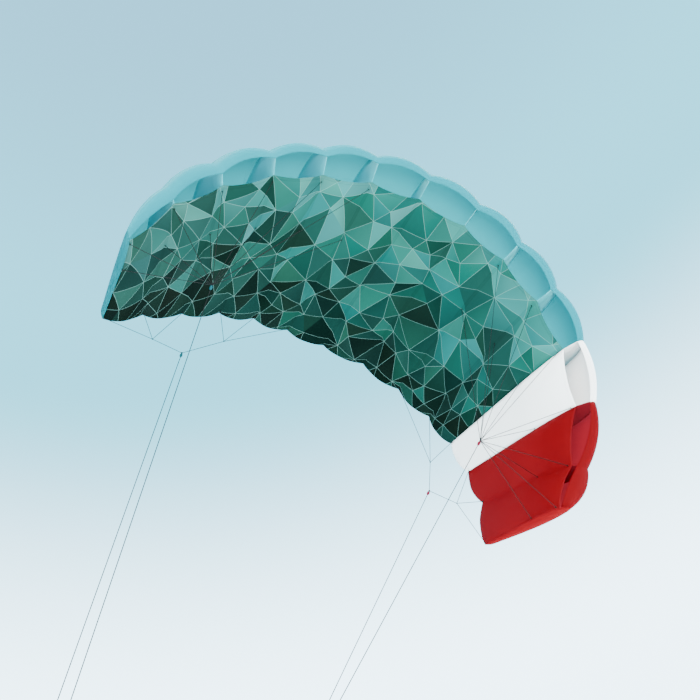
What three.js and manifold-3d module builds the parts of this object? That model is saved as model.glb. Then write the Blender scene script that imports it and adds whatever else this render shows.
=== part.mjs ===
// Foil kite in flight: a ram-air canopy of thirteen open cells, its bridles and the tops of its four lines.
// Millimetres. +X points right for someone facing the leading edge, +Y from leading to trailing edge, +Z up.
// The origin is on the crown, the highest point of the middle cell.
import * as THREE from 'three';
import { mergeVertices } from 'three/addons/utils/BufferGeometryUtils.js';
import Module from 'manifold-3d';

const wasm = await Module();
wasm.setup();

// Driving sizes
const CELL_WIDTH = 168;
const CLOTH = 1.5;
const GAP = 0.3;
const SEAM_LIFT = CLOTH / 2 + GAP;
const CROWN = { y: 240, z: 138 };
const STEPS_ACROSS_CELL = 4;
const PITCH_PIVOT = 0.35;

// Cells from the left tip to the right tip: tilt about the chord direction in degrees, the share of the upper
// cloth's billow that is kept at the nose and again at the inlet's lip, and the colour field
const CELLS = [
  { tilt: -77, billow: 0.6, lip: 0.6, field: 'teal' },
  { tilt: -65, billow: 0.85, lip: 1, field: 'teal' },
  { tilt: -56, billow: 1.05, lip: 1, field: 'teal' },
  { tilt: -48, billow: 0.92, lip: 1, field: 'teal' },
  { tilt: -38, billow: 1, lip: 1, field: 'teal' },
  { tilt: -22, billow: 1, lip: 1, field: 'teal' },
  { tilt: 0, billow: 1, lip: 1, field: 'teal' },
  { tilt: 18, billow: 1.15, lip: 1, field: 'teal' },
  { tilt: 31, billow: 1.1, lip: 1, field: 'teal' },
  { tilt: 45, billow: 1, lip: 1, field: 'teal' },
  { tilt: 58, billow: 0.75, lip: 1, field: 'white' },
  { tilt: 73, billow: 0.85, lip: 0.9, field: 'red' },
  { tilt: 91, billow: 0.85, lip: -0.3, field: 'red' },
];

// Ribs from the left tip to the right tip: chord and setback of the nose, nose-down pitch and turn of the nose toward
// the right tip in degrees, the share of the section's height that is kept, the height of a tip's side edge, and how
// far the nose closes the inlet
const RIBS = [
  { chord: 328, setback: 165, pitch: 1, turn: 0, height: 0.1, edge: 9, closed: 1 },
  { chord: 450, setback: 110, pitch: 6, turn: 0, height: 0.94, edge: 0, closed: 0.85 },
  { chord: 530, setback: 82, pitch: 7, turn: 0, height: 1.2, edge: 0, closed: 0.3 },
  { chord: 600, setback: 50, pitch: 6, turn: 0, height: 1.1, edge: 0, closed: 0 },
  { chord: 675, setback: 30, pitch: 4, turn: 0, height: 1.1, edge: 0, closed: 0 },
  { chord: 750, setback: 15, pitch: 2.5, turn: 0, height: 1, edge: 0, closed: 0 },
  { chord: 795, setback: 5, pitch: 1, turn: 0, height: 1, edge: 0, closed: 0 },
  { chord: 795, setback: -5, pitch: -1, turn: 0, height: 1, edge: 0, closed: 0 },
  { chord: 750, setback: 0, pitch: 0.5, turn: 0, height: 1, edge: 0, closed: 0 },
  { chord: 675, setback: 20, pitch: 3.5, turn: 0, height: 1, edge: 0, closed: 0 },
  { chord: 590, setback: 50, pitch: 8, turn: 1, height: 1, edge: 0, closed: 0 },
  { chord: 505, setback: 100, pitch: 10, turn: 4.5, height: 1, edge: 0, closed: 0 },
  { chord: 415, setback: 160, pitch: 10, turn: 10, height: 0.85, edge: 0, closed: 0.65 },
  { chord: 340, setback: 185, pitch: 9, turn: 3.5, height: 0.3, edge: 6, closed: 1 },
];

// Sections: a place in shares of the chord, and how far the cloth billows at mid cell in shares of the cell width.
// In the upper one, wrap is the share of a closing nose and edge the share of a tip's side edge
const UPPER_SECTION = [
  { along: -0.008, up: 0.023, wrap: 1, edge: 1, billowAlong: -0.05, billowUp: 0.1 },
  { along: -0.02, up: 0.045, wrap: 0.55, edge: 1, billowAlong: -0.08, billowUp: 0.1 },
  { along: -0.012, up: 0.07, wrap: 0.2, edge: 1, billowAlong: -0.08, billowUp: 0.11 },
  { along: 0.02, up: 0.1, wrap: 0, edge: 1, billowAlong: -0.05, billowUp: 0.12 },
  { along: 0.08, up: 0.127, wrap: 0, edge: 1, billowAlong: -0.02, billowUp: 0.12 },
  { along: 0.18, up: 0.146, wrap: 0, edge: 1, billowAlong: 0, billowUp: 0.12 },
  { along: 0.3, up: 0.15, wrap: 0, edge: 1, billowAlong: 0, billowUp: 0.11 },
  { along: 0.45, up: 0.136, wrap: 0, edge: 1, billowAlong: 0, billowUp: 0.1 },
  { along: 0.62, up: 0.104, wrap: 0, edge: 1, billowAlong: 0.01, billowUp: 0.09 },
  { along: 0.8, up: 0.06, wrap: 0, edge: 1, billowAlong: 0.03, billowUp: 0.07 },
  { along: 0.93, up: 0.025, wrap: 0, edge: 1, billowAlong: 0.08, billowUp: 0.035 },
  { along: 1, up: 0, wrap: 0, edge: 0, billowAlong: 0.12, billowUp: 0 },
];
const LOWER_SECTION = [
  { along: 0.066, up: -0.005, billowAlong: 0.05, billowUp: -0.03 },
  { along: 0.15, up: -0.014, billowAlong: 0.02, billowUp: -0.045 },
  { along: 0.3, up: -0.02, billowAlong: 0, billowUp: -0.05 },
  { along: 0.5, up: -0.017, billowAlong: 0, billowUp: -0.05 },
  { along: 0.75, up: -0.009, billowAlong: 0.03, billowUp: -0.04 },
  { along: 0.93, up: -0.005, billowAlong: 0.08, billowUp: -0.015 },
  { along: 1, up: 0, billowAlong: 0.12, billowUp: 0 },
];
const CLOSED_NOSE = { along: 0.062, up: 0 };
const RIB_TAIL = 0.93;
const TIP_TAIL = 0.975;
const RIB_INSET = CLOTH / 2 + GAP + 0.35;

// Bridles: the ribs that each side's lines are tied to, and the rows of ties along the chord
const TIED_RIBS = { left: [0, 1, 2, 3, 4, 5], right: [8, 9, 10, 11, 12, 13] };
const POWER_TIES = [0.1, 0.38];
const BRAKE_TIE = 0.985;
const BRIDLE_RADIUS = 0.8;
const TIE_RADIUS = 2.2;
const KNOT_RADIUS = 3.2;
const LINE_RADIUS = 1;

// Knots where the lines meet, brake junctions with the ribs they serve, and the lines' lower ends
const RIGGING = {
  left: {
    power: { knot: [-471, 302, -600], end: [-201, 290, -1760] },
    brake: {
      knot: [-456, 551, -650],
      end: [-220, 333, -1760],
      junctions: [
        { at: [-558, 598, -620], ribs: [0, 1, 2] },
        { at: [-381, 619, -450], ribs: [3, 4, 5] },
      ],
    },
  },
  right: {
    power: { knot: [411, 276, -600], end: [209, 276, -1760] },
    brake: {
      knot: [390, 510, -650],
      end: [216, 323, -1760],
      junctions: [
        { at: [364, 504, -550], ribs: [8, 9, 10] },
        { at: [492, 526, -620], ribs: [11, 12, 13] },
      ],
    },
  },
};
const PIGTAIL = { length: 18, radius: 4.5, neck: 2 };
const END_LOOP = { length: 60, halfWidth: 11, steps: 16 };

// Finishes
const FINISH = {
  tealCloth: { color: 0x7accd0, roughness: 0.6, metalness: 0 },
  printCloth: { color: 0x2f716b, roughness: 0.6, metalness: 0 },
  whiteCloth: { color: 0xe8e8e6, roughness: 0.6, metalness: 0 },
  redCloth: { color: 0xb4262b, roughness: 0.6, metalness: 0 },
  greyLine: { color: 0x7d8488, roughness: 0.7, metalness: 0 },
  blueTail: { color: 0x3fb4cf, roughness: 0.7, metalness: 0 },
  redTail: { color: 0xc0273a, roughness: 0.7, metalness: 0 },
};
const UPPER_FINISH = { teal: 'tealCloth', white: 'whiteCloth', red: 'redCloth' };
const LOWER_FINISH = { teal: 'printCloth', white: 'whiteCloth', red: 'redCloth' };

const Y_AXIS = new THREE.Vector3(0, 1, 0);
const Z_AXIS = new THREE.Vector3(0, 0, 1);
const kite = new THREE.Group();

function addMesh(name, geometry, finish) {
  const mesh = new THREE.Mesh(geometry, new THREE.MeshStandardMaterial(FINISH[finish]));
  mesh.name = name;
  kite.add(mesh);
  return mesh;
}

function toPart([x, y, z]) {
  return new THREE.Vector3(x, y - CROWN.y, z - CROWN.z);
}

// A rib leans midway between its two cells, and at a tip it carries the turn on
function ribTilt(index, tilts) {
  const last = tilts.length - 1;
  if (index === 0) return 1.5 * tilts[0] - 0.5 * tilts[1];
  if (index > last) return 1.5 * tilts[last] - 0.5 * tilts[last - 1];
  return (tilts[index - 1] + tilts[index]) / 2;
}

// Rib frames, walked along the arc cell by cell and centred on the middle cell
function ribFrames() {
  const tilts = CELLS.map(({ tilt }) => THREE.MathUtils.degToRad(tilt));
  const feet = [new THREE.Vector2(0, 0)];
  for (const tilt of tilts) {
    const step = new THREE.Vector2(Math.cos(tilt), -Math.sin(tilt)).multiplyScalar(CELL_WIDTH);
    feet.push(feet[feet.length - 1].clone().add(step));
  }
  const middle = feet[6].clone().add(feet[7]).multiplyScalar(0.5);
  return RIBS.map(({ chord, setback, pitch, turn }, index) => {
    const tilt = ribTilt(index, tilts);
    const lean = THREE.MathUtils.degToRad(pitch);
    const foot = feet[index].clone().sub(middle);
    const out = new THREE.Vector3(Math.sin(tilt), 0, Math.cos(tilt));
    const back = new THREE.Vector3(0, 1, 0);
    const along = back.clone().multiplyScalar(Math.cos(lean)).addScaledVector(out, -Math.sin(lean));
    const up = out.clone().multiplyScalar(Math.cos(lean)).addScaledVector(back, Math.sin(lean));
    along.applyAxisAngle(up, THREE.MathUtils.degToRad(turn));
    const pivot = toPart([foot.x, setback + PITCH_PIVOT * chord, foot.y]);
    return { chord, pivot, along, up, across: along.clone().cross(up) };
  });
}

const frames = ribFrames();

// A row of a section between two of its rows
function rowAt(section, along) {
  const next = section.findIndex((row) => row.along >= along);
  const [a, b] = [section[next - 1], section[next]];
  const share = (along - a.along) / (b.along - a.along);
  return Object.fromEntries(Object.keys(a).map((key) => [key, THREE.MathUtils.lerp(a[key], b[key], share)]));
}

// A rib's edge at one row, as distances along and up the rib. The two skins lie a seam apart
function ribEdge(index, row, section) {
  const { chord, height, edge, closed } = RIBS[index];
  if (section === LOWER_SECTION) return new THREE.Vector2(row.along * chord, row.up * chord - SEAM_LIFT);
  const nose = closed * row.wrap;
  const along = THREE.MathUtils.lerp(row.along, CLOSED_NOSE.along, nose);
  const up = THREE.MathUtils.lerp(row.up * height, CLOSED_NOSE.up, nose);
  return new THREE.Vector2(along * chord, up * chord + SEAM_LIFT + edge * row.edge * (1 - nose));
}

function onRib(index, place) {
  const { chord, pivot, along, up } = frames[index];
  return pivot.clone().addScaledVector(along, place.x - PITCH_PIVOT * chord).addScaledVector(up, place.y);
}

// The share of its billow that a cell's upper cloth keeps at one row
function keptBillow({ billow, lip }, row) {
  return THREE.MathUtils.lerp(billow, 1, Math.max(row.along, 0)) * THREE.MathUtils.lerp(1, lip, row.wrap);
}

// A column of the cloth's middle surface at a share of the way across one cell
function clothColumn(section, cell, share) {
  const tilt = THREE.MathUtils.degToRad(CELLS[cell].tilt);
  const out = new THREE.Vector3(Math.sin(tilt), 0, Math.cos(tilt));
  const arch = 4 * share * (1 - share) * CELL_WIDTH;
  return section.map((row) => {
    const billow = arch * (section === UPPER_SECTION ? keptBillow(CELLS[cell], row) : 1);
    const point = onRib(cell, ribEdge(cell, row, section));
    point.lerp(onRib(cell + 1, ribEdge(cell + 1, row, section)), share);
    point.y += billow * row.billowAlong;
    return point.addScaledVector(out, billow * row.billowUp);
  });
}

// The columns of one cell's panel, with the neighbouring columns that its edges take their slope from
function panelColumns(section, cell) {
  const trim = GAP / 2 / CELL_WIDTH;
  const columns = [];
  for (let step = 0; step <= STEPS_ACROSS_CELL; step += 1) {
    columns.push(clothColumn(section, cell, THREE.MathUtils.clamp(step / STEPS_ACROSS_CELL, trim, 1 - trim)));
  }
  const beside = 1 / STEPS_ACROSS_CELL;
  const before = cell > 0 ? clothColumn(section, cell - 1, 1 - beside) : columns[0];
  const after = cell < CELLS.length - 1 ? clothColumn(section, cell + 1, beside) : columns[STEPS_ACROSS_CELL];
  return { columns, before, after };
}

// A closed sheet of even thickness on a grid of middle points
function sheet({ columns, before, after }, thickness) {
  const count = columns.length;
  const rows = columns[0].length;
  const around = [before, ...columns, after];
  const pick = (list, i) => list[THREE.MathUtils.clamp(i, 0, list.length - 1)];
  const positions = [];
  for (const side of [0.5, -0.5]) {
    for (let i = 0; i < count; i += 1) {
      for (let j = 0; j < rows; j += 1) {
        const across = around[i + 2][j].clone().sub(around[i][j]);
        const along = pick(columns[i], j + 1).clone().sub(pick(columns[i], j - 1));
        const normal = across.cross(along).normalize();
        positions.push(...columns[i][j].clone().addScaledVector(normal, side * thickness).toArray());
      }
    }
  }
  const top = (i, j) => i * rows + j;
  const bottom = (i, j) => count * rows + top(i, j);
  const indices = [];
  const quad = (a, b, c, d) => indices.push(a, b, c, a, c, d);
  for (let i = 0; i < count - 1; i += 1) {
    for (let j = 0; j < rows - 1; j += 1) {
      quad(top(i, j), top(i + 1, j), top(i + 1, j + 1), top(i, j + 1));
      quad(bottom(i, j), bottom(i, j + 1), bottom(i + 1, j + 1), bottom(i + 1, j));
    }
    quad(top(i + 1, 0), top(i, 0), bottom(i, 0), bottom(i + 1, 0));
    quad(top(i, rows - 1), top(i + 1, rows - 1), bottom(i + 1, rows - 1), bottom(i, rows - 1));
  }
  for (let j = 0; j < rows - 1; j += 1) {
    quad(top(0, j), top(0, j + 1), bottom(0, j + 1), bottom(0, j));
    quad(top(count - 1, j + 1), top(count - 1, j), bottom(count - 1, j), bottom(count - 1, j + 1));
  }
  const geometry = new THREE.BufferGeometry();
  geometry.setAttribute('position', new THREE.Float32BufferAttribute(positions, 3));
  geometry.setIndex(indices);
  geometry.computeVertexNormals();
  return geometry;
}

// Skins, one upper and one lower panel to a cell
const numbered = (name, index) => `${name}_${String(index + 1).padStart(2, '0')}`;
CELLS.forEach(({ field }, cell) => {
  const upper = sheet(panelColumns(UPPER_SECTION, cell), CLOTH);
  const lower = sheet(panelColumns(LOWER_SECTION, cell), CLOTH);
  addMesh(numbered('upper_panel', cell), upper, UPPER_FINISH[field]);
  addMesh(numbered('lower_panel', cell), lower, LOWER_FINISH[field]);
});

// A rib's outline: the section between the skins, drawn in by the inset
function ribOutline(index) {
  const tail = RIBS[index].edge > 0 ? TIP_TAIL : RIB_TAIL;
  const edge = (section) => {
    const rows = section.filter((row) => row.along < tail);
    return [...rows, rowAt(section, tail)].map((row) => ribEdge(index, row, section));
  };
  const loop = [...edge(UPPER_SECTION), ...edge(LOWER_SECTION).reverse()];
  return loop.map((point, i) => {
    const before = loop[(i + loop.length - 1) % loop.length];
    const after = loop[(i + 1) % loop.length];
    const inward = (from, to) => {
      const step = to.clone().sub(from).normalize();
      return new THREE.Vector2(step.y, -step.x);
    };
    const bisector = inward(before, point).add(inward(point, after)).normalize();
    const miter = RIB_INSET / Math.max(bisector.dot(inward(before, point)), 0.4);
    return point.clone().addScaledVector(bisector, miter);
  });
}

// Ribs, the two end ones closing the tips
function ribFinish(index) {
  if (index >= 11) return 'redCloth';
  return index === 10 ? 'whiteCloth' : 'tealCloth';
}

frames.forEach((frame, index) => {
  const shape = new THREE.Shape(ribOutline(index));
  const geometry = new THREE.ExtrudeGeometry(shape, { depth: CLOTH, bevelEnabled: false });
  geometry.translate(-PITCH_PIVOT * frame.chord, 0, -CLOTH / 2);
  const placing = new THREE.Matrix4().makeBasis(frame.along, frame.up, frame.across).setPosition(frame.pivot);
  addMesh(numbered('rib', index), geometry, ribFinish(index)).applyMatrix4(placing);
});

// Solids that are fused, as lines are at their knots
function solid(geometry) {
  geometry.deleteAttribute('normal');
  geometry.deleteAttribute('uv');
  const merged = mergeVertices(geometry, 1e-4);
  const mesh = new wasm.Mesh({
    numProp: 3,
    vertProperties: new Float32Array(merged.attributes.position.array),
    triVerts: new Uint32Array(merged.index.array),
  });
  return new wasm.Manifold(mesh);
}

function fused(geometries) {
  const whole = geometries.map(solid).reduce((sum, next) => sum.add(next));
  const mesh = whole.getMesh();
  const geometry = new THREE.BufferGeometry();
  geometry.setAttribute('position', new THREE.Float32BufferAttribute(mesh.vertProperties, 3));
  geometry.setIndex(Array.from(mesh.triVerts));
  geometry.computeVertexNormals();
  return geometry;
}

function strand(from, to, radius) {
  const length = from.distanceTo(to);
  const geometry = new THREE.CylinderGeometry(radius, radius, length, 8, 1);
  const direction = to.clone().sub(from).normalize();
  const turn = new THREE.Quaternion().setFromUnitVectors(Y_AXIS, direction);
  geometry.applyQuaternion(turn);
  const middle = from.clone().lerp(to, 0.5);
  return geometry.translate(middle.x, middle.y, middle.z);
}

function knotAt(centre) {
  return new THREE.OctahedronGeometry(KNOT_RADIUS, 1).translate(centre.x, centre.y, centre.z);
}

function tieAt(centre, toward) {
  const geometry = new THREE.OctahedronGeometry(TIE_RADIUS, 0);
  geometry.applyQuaternion(new THREE.Quaternion().setFromUnitVectors(Y_AXIS, toward));
  return geometry.translate(centre.x, centre.y, centre.z);
}

// Tie places, just clear of the cloth under a rib's seam
function tieUnder(index, along) {
  const place = ribEdge(index, rowAt(LOWER_SECTION, along), LOWER_SECTION);
  place.y -= CLOTH / 2 + TIE_RADIUS + 2 * GAP;
  return onRib(index, place);
}

// Bridles
function powerBridle(side) {
  const knot = toPart(RIGGING[side].power.knot);
  const pieces = [knotAt(knot)];
  for (const rib of TIED_RIBS[side]) {
    for (const along of POWER_TIES) {
      const tie = tieUnder(rib, along);
      pieces.push(strand(tie, knot, BRIDLE_RADIUS), tieAt(tie, frames[rib].up));
    }
  }
  return fused(pieces);
}

function brakeBridle(side) {
  const { knot, junctions } = RIGGING[side].brake;
  const foot = toPart(knot);
  const pieces = [knotAt(foot)];
  for (const junction of junctions) {
    const fork = toPart(junction.at);
    pieces.push(strand(foot, fork, BRIDLE_RADIUS), tieAt(fork, Z_AXIS));
    for (const rib of junction.ribs) {
      const tie = tieUnder(rib, BRAKE_TIE);
      pieces.push(strand(fork, tie, BRIDLE_RADIUS), tieAt(tie, frames[rib].up));
    }
  }
  return fused(pieces);
}

// Coloured tails that hold the flying lines to the bridles
function pigtail(start, direction) {
  const { length, radius, neck } = PIGTAIL;
  const profile = [
    new THREE.Vector2(0, 0),
    new THREE.Vector2(neck, 0),
    new THREE.Vector2(radius * 0.8, length * 0.2),
    new THREE.Vector2(radius, length * 0.45),
    new THREE.Vector2(radius * 0.75, length * 0.75),
    new THREE.Vector2(neck, length),
    new THREE.Vector2(0, length),
  ];
  const geometry = new THREE.LatheGeometry(profile, 10);
  geometry.applyQuaternion(new THREE.Quaternion().setFromUnitVectors(Y_AXIS, direction));
  return geometry.translate(start.x, start.y, start.z);
}

function flyingLine(start, end) {
  const section = new THREE.Shape();
  section.absarc(0, 0, LINE_RADIUS, 0, 2 * Math.PI);
  const path = new THREE.LineCurve3(start, end);
  return new THREE.ExtrudeGeometry(section, { steps: 4, curveSegments: 4, bevelEnabled: false, extrudePath: path });
}

// The knotted loop at a line's lower end, which hooks onto a handle
function endLoop(knot, direction) {
  const { length, halfWidth, steps } = END_LOOP;
  const sideways = new THREE.Vector3(1, 0, 0).addScaledVector(direction, -direction.x).normalize();
  const points = [];
  for (let i = 0; i < steps; i += 1) {
    const angle = (2 * Math.PI * i) / steps;
    const down = (length / 2) * (1 - Math.cos(angle));
    const point = knot.clone().addScaledVector(direction, down);
    points.push(point.addScaledVector(sideways, halfWidth * Math.sin(angle)));
  }
  const path = new THREE.CatmullRomCurve3(points, true);
  const loop = new THREE.TubeGeometry(path, steps, LINE_RADIUS, 8, true);
  return fused([loop, knotAt(knot)]);
}

for (const side of ['left', 'right']) {
  const tailFinish = side === 'left' ? 'blueTail' : 'redTail';
  addMesh(`power_bridle_${side}`, powerBridle(side), 'greyLine');
  addMesh(`brake_bridle_${side}`, brakeBridle(side), 'greyLine');
  for (const bank of ['power', 'brake']) {
    const knot = toPart(RIGGING[side][bank].knot);
    const end = toPart(RIGGING[side][bank].end);
    const direction = end.clone().sub(knot).normalize();
    const below = (distance) => knot.clone().addScaledVector(direction, distance);
    const tailTop = KNOT_RADIUS + GAP;
    const lineTop = tailTop + PIGTAIL.length + GAP;
    const lineEnd = end.clone().addScaledVector(direction, -KNOT_RADIUS - GAP);
    addMesh(`${bank}_tail_${side}`, pigtail(below(tailTop), direction), tailFinish);
    addMesh(`${bank}_line_${side}`, flyingLine(below(lineTop), lineEnd), 'greyLine');
    addMesh(`${bank}_loop_${side}`, endLoop(end, direction), 'greyLine');
  }
}

export default kite;
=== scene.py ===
"""Foil kite in flight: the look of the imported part, in metres and in the same frame."""

import math
import random

import bmesh
import bpy
import numpy as np
from mathutils import Matrix, Vector
from mathutils.geometry import delaunay_2d_cdt


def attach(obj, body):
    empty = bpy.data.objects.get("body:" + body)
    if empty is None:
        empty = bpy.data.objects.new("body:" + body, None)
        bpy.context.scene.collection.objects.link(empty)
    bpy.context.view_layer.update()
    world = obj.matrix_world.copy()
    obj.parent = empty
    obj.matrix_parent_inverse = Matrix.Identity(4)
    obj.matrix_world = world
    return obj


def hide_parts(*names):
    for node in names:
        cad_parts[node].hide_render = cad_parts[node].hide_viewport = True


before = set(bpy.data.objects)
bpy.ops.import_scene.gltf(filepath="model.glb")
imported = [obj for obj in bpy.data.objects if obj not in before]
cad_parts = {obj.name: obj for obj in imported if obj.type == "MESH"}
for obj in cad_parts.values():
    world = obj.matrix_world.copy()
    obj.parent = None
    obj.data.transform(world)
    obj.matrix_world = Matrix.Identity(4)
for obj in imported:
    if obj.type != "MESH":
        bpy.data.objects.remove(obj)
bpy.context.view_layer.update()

# Driving sizes, as in the solids
CELL_WIDTH = 0.168
CLOTH = 0.0015
GAP = 0.0003
SEAM_LIFT = CLOTH / 2 + GAP
CROWN_Y = 0.24
CROWN_Z = 0.138
PITCH_PIVOT = 0.35
NOSE_ALONG = 0.062
RIB_TAIL = 0.93
TIP_TAIL = 0.975
TIE_RADIUS = 0.0022
KNOT_RADIUS = 0.0032
TAIL_LENGTH = 0.018
LOOP_LENGTH = 0.06
LOOP_HALF_WIDTH = 0.011

# Sizes of the look alone
SHEET = 0.0009
FLAT_CELL = 0.18
FIELD_TAPER = 1.15
BRIDLE_RADIUS = 0.0008
LINE_RADIUS = 0.001
KNOT_THREAD = 0.0011
KNOT_DEPTH = 1.6
TIE_THREAD = 0.0008
TIE_LOOP_THREAD = 0.0005
TIE_LOOP_HALF_WIDTH = 0.0016
TAIL_END_RADIUS = 0.0014
TAIL_SWELL = 0.0029
TAIL_ROUNDING = 0.7
TAIL_RIDGE = 0.1
TAIL_RIDGES = 9

# How finely the pieces are divided
LEG_STEPS = 16
LINE_STEPS = 24
SKIN_COLUMNS = 14
UPPER_STEPS = 4
LOWER_STEPS = 6
RIB_COLUMNS = 43
RIB_STEPS = 8
ROW_STEPS = 900
RUN_STEPS = 160

# Puckers and ripples: heights and distances in metres, starts and ends in shares of the chord
SEAM_PUCKER = 0.0006
SEAM_PUCKER_PLACE = 0.016
SEAM_PUCKER_SPREAD = 0.013
SEAM_PUCKER_WAVES = 62
SEAM_PUCKER_DRIFT = 17
SEAM_PUCKER_PHASE = 2.1
UPPER_SKIN_PHASE = 0.7
SEAM_PUCKER_END = (0.92, 0.98)
SEAM_CALM = (0, 0.004)
LIP_PUCKER = 0.0009
LIP_PUCKER_WAVES = 5
LIP_PUCKER_PHASE = 2.3
LIP_PUCKER_END = (0.06, 0.16)
TAIL_RIPPLE = 0.0012
TAIL_RIPPLE_WAVES = 3
TAIL_RIPPLE_PHASE = 1.7
TAIL_RIPPLE_START = (0.86, 1)
TAIL_SLIT = 0.00005
TAIL_CLOSING = SEAM_LIFT - SHEET / 2 - TAIL_SLIT
TAIL_CLOSING_START = (0.98, 0.996)
TIP_BOW = 0.004
RIB_BOW = 0.0015
RIB_BOW_PHASE = 2.4
RIB_BOW_RISE = 4
RIB_BOW_AT_ENDS = 0.02
RIB_RIPPLE = 0.0004
RIB_RIPPLE_WAVES = 39

# Room between a rib's edges and the skins, in half sheets and gaps, and at most as a share of its height
RIB_ROOM = 1.4
TIP_ROOM = 0.3
RIB_ROOM_LIMIT = 0.3
UPPER_NOSE_ROW = 2

# Cells from the left tip: tilt in degrees, billow kept at the nose and again at the lip, and colour field
CELLS = [
    (-77, 0.6, 0.6, "teal"),
    (-65, 0.85, 1, "teal"),
    (-56, 1.05, 1, "teal"),
    (-48, 0.92, 1, "teal"),
    (-38, 1, 1, "teal"),
    (-22, 1, 1, "teal"),
    (0, 1, 1, "teal"),
    (18, 1.15, 1, "teal"),
    (31, 1.1, 1, "teal"),
    (45, 1, 1, "teal"),
    (58, 0.75, 1, "white"),
    (73, 0.85, 0.9, "red"),
    (91, 0.85, -0.3, "red"),
]
TILT, BILLOW, LIP = (np.array(column, float) for column in list(zip(*CELLS))[:3])
FIELD = [cell[3] for cell in CELLS]
LAST_RIB = len(CELLS)

# Ribs from the left tip: chord, setback, pitch and turn in degrees, height, tip edge, closing of the nose
RIBS = [
    (0.328, 0.165, 1, 0, 0.1, 0.009, 1),
    (0.450, 0.110, 6, 0, 0.94, 0, 0.85),
    (0.530, 0.082, 7, 0, 1.2, 0, 0.3),
    (0.600, 0.050, 6, 0, 1.1, 0, 0),
    (0.675, 0.030, 4, 0, 1.1, 0, 0),
    (0.750, 0.015, 2.5, 0, 1, 0, 0),
    (0.795, 0.005, 1, 0, 1, 0, 0),
    (0.795, -0.005, -1, 0, 1, 0, 0),
    (0.750, 0.000, 0.5, 0, 1, 0, 0),
    (0.675, 0.020, 3.5, 0, 1, 0, 0),
    (0.590, 0.050, 8, 1, 1, 0, 0),
    (0.505, 0.100, 10, 4.5, 1, 0, 0),
    (0.415, 0.160, 10, 10, 0.85, 0, 0.65),
    (0.340, 0.185, 9, 3.5, 0.3, 0.006, 1),
]
CHORD, SETBACK, PITCH, TURN, HEIGHT, EDGE, CLOSED = (np.array(column, float) for column in zip(*RIBS))

# Section rows: along, up, wrap, edge, billow along and billow up
UPPER_ROWS = np.array([
    (-0.008, 0.023, 1, 1, -0.05, 0.1),
    (-0.02, 0.045, 0.55, 1, -0.08, 0.1),
    (-0.012, 0.07, 0.2, 1, -0.08, 0.11),
    (0.02, 0.1, 0, 1, -0.05, 0.12),
    (0.08, 0.127, 0, 1, -0.02, 0.12),
    (0.18, 0.146, 0, 1, 0, 0.12),
    (0.3, 0.15, 0, 1, 0, 0.11),
    (0.45, 0.136, 0, 1, 0, 0.1),
    (0.62, 0.104, 0, 1, 0.01, 0.09),
    (0.8, 0.06, 0, 1, 0.03, 0.07),
    (0.93, 0.025, 0, 1, 0.08, 0.035),
    (1, 0, 0, 0, 0.12, 0),
])
LOWER_ROWS = np.array([
    (0.066, -0.005, 0, 0, 0.05, -0.03),
    (0.15, -0.014, 0, 0, 0.02, -0.045),
    (0.3, -0.02, 0, 0, 0, -0.05),
    (0.5, -0.017, 0, 0, 0, -0.05),
    (0.75, -0.009, 0, 0, 0.03, -0.04),
    (0.93, -0.005, 0, 0, 0.08, -0.015),
    (1, 0, 0, 0, 0.12, 0),
])

# Rigging: ties in shares of the chord, points in millimetres before the crown is taken off, ribs from zero
MILLIMETRES = 1000
POWER_TIES = (0.1, 0.38)
BRAKE_TIE = 0.985
RIGGING = {
    "left": {
        "ribs": (0, 1, 2, 3, 4, 5),
        "power": ((-471, 302, -600), (-201, 290, -1760)),
        "brake": ((-456, 551, -650), (-220, 333, -1760)),
        "forks": (((-558, 598, -620), (0, 1, 2)), ((-381, 619, -450), (5, 4, 3))),
    },
    "right": {
        "ribs": (8, 9, 10, 11, 12, 13),
        "power": ((411, 276, -600), (209, 276, -1760)),
        "brake": ((390, 510, -650), (216, 323, -1760)),
        "forks": (((364, 504, -550), (8, 9, 10)), ((492, 526, -620), (13, 12, 11))),
    },
}

# Camera, from the photograph's view
CAMERA_PLACE = (-0.2177, -1.4592, -2.4261)
CAMERA_RIGHT = Vector((0.8502, -0.4378, 0.2925))
CAMERA_DOWN = Vector((0.5210, 0.6190, -0.5877))
CAMERA_FORWARD = Vector((0.0762, 0.6521, 0.7543))
SENSOR = 36
FOCAL_PIXELS = 800
PICTURE_PIXELS = 700
CAMERA_LENS = SENSOR * FOCAL_PIXELS / PICTURE_PIXELS

# Stage
FLOOR_HEIGHT = -3.4
FLOOR_SIZE = 14.0
FLOOR_COLOUR = (0.78, 0.8, 0.8, 1)
FLOOR_ROUGHNESS = 0.8
KITE_MIDDLE = (0.0, 0.1, -0.35)
SKY_AXIS = (-0.419, 0.191, 0.887)
SKY_HIGH = (0.45, 1.25, 1.75)
SKY_MIDDLE = (0.42, 1.75, 2.3)
SKY_LOW = (4.3, 5.9, 6.9)
UPPER_SKY_FADE = (0.79, 0.97)
LOWER_SKY_FADE = (0.42, 0.76)

# Lights: name, place, size, power in watts and colour
LIGHTS = [
    ("key", (-2.2, -3.4, -1.6), 2.4, 520, (1.0, 0.88, 0.76)),
    ("fill", (2.3, 0.3, -2.9), 2.6, 510, (1.0, 0.86, 0.72)),
    ("left", (-3.2, -0.6, 1.6), 2.0, 320, (1.0, 0.95, 0.9)),
    ("top", (0.4, -1.2, 3.4), 3.0, 740, (1.0, 0.95, 0.9)),
]


def hex_colour(text):
    """A colour written in hex, as linear values."""
    channels = [int(text[i:i + 2], 16) / 255 for i in (1, 3, 5)]
    return tuple(c / 12.92 if c <= 0.04045 else ((c + 0.055) / 1.055) ** 2.4 for c in channels)


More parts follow.
